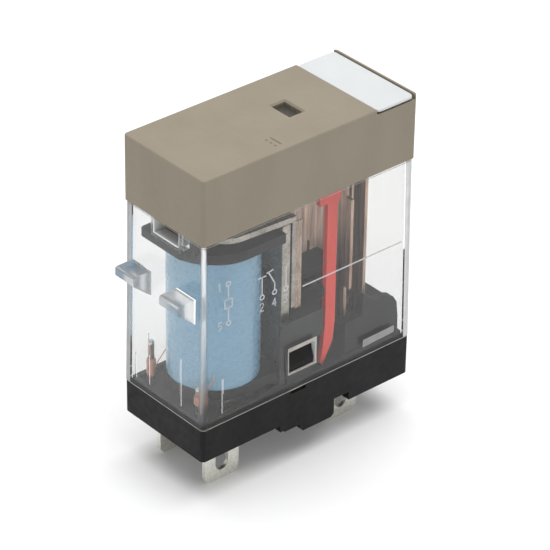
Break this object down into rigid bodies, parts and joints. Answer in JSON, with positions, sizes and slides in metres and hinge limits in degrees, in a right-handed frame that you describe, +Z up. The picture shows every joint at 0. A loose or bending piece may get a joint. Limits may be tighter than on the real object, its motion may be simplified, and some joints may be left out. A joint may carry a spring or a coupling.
{
  "type": "plug-in relay",
  "caption": "Slim plug-in relay: clear case on a black base with flat blades, beige cap with an indicator window, and a coil, rocking armature and changeover contact inside.",
  "frame": {"origin": "middle of the body in plan, on the plane where the base seats on its socket", "axes": "+X from the coil end to the contact end, +Y across the narrow body, +Z up, from the blades to the cap"},
  "size_m": [0.0313, 0.013, 0.0392],
  "materials": {
    "black_plastic": "fine moulded satin",
    "grey_black_plastic": "fine moulded satin",
    "clear_plastic": "clear polycarbonate",
    "beige_plastic": "fine moulded satin",
    "white_plastic": "satin",
    "enamelled_copper": "enamelled",
    "blue_tape": "polyester film",
    "solder": "bright",
    "plated_iron": "bright zinc plate",
    "copper_alloy": "rolled",
    "rivet_metal": "rolled",
    "contact_silver": "bright",
    "plated_terminal": "tin plated copper alloy",
    "red_plastic": "satin"
  },
  "bodies": {
    "housing": {"base": "black_plastic", "bobbin": "black_plastic", "contact_block": "grey_black_plastic", "clear_case": "clear_plastic", "top_cap": "beige_plastic", "coil_winding": "enamelled_copper", "coil_lead_a": "enamelled_copper", "coil_lead_b": "enamelled_copper", "coil_tape": "blue_tape", "lead_solder_a": "solder", "lead_solder_b": "solder", "core": "plated_iron", "yoke": "plated_iron", "hinge_spring": "copper_alloy", "yoke_rivets": "rivet_metal", "normally_closed_contact": "contact_silver", "normally_open_contact": "contact_silver", "coil_terminal_a": "plated_terminal", "coil_terminal_b": "plated_terminal", "common_terminal": "plated_terminal", "normally_closed_terminal": "plated_terminal", "normally_open_terminal": "plated_terminal", "indicator_pin": "plated_iron"},
    "armature": {"armature": "plated_iron", "armature_strip": "copper_alloy", "strip_rivets": "rivet_metal", "contact_card": "black_plastic"},
    "moving_contact": {"moving_leaf": "copper_alloy", "leaf_rivets": "rivet_metal", "moving_contact_closed_side": "contact_silver", "moving_contact_open_side": "contact_silver"},
    "indicator": {"indicator_lever": "red_plastic"},
    "nameplate": {"nameplate": "white_plastic"}
  },
  "joints": [
    {"name": "armature_rock", "type": "hinge", "parent": "housing", "child": "armature", "pos_m": [-0.0015, 0, 0.02438], "axis": [0, -1, 0], "range_deg": [0, 3], "stiffness_Nm_per_rad": 0.004, "springref_deg": -17.19},
    {"name": "leaf_bend", "type": "hinge", "parent": "housing", "child": "moving_contact", "pos_m": [0.00825, 0, 0.0094], "axis": [0, 1, 0], "range_deg": [0, 2.34]},
    {"name": "indicator_turn", "type": "hinge", "parent": "housing", "child": "indicator", "pos_m": [0.00405, -0.0045, 0.009], "axis": [0, 1, 0], "range_deg": [0, 5.7]},
    {"name": "nameplate_lift", "type": "slide", "parent": "housing", "child": "nameplate", "axis": [0, 0, 1], "range_m": [0, 0.003]}
  ],
  "couplings": [
    {"joint": "leaf_bend", "follows": "armature_rock", "ratio": 0.78},
    {"joint": "indicator_turn", "follows": "armature_rock", "ratio": 1.9}
  ]
}
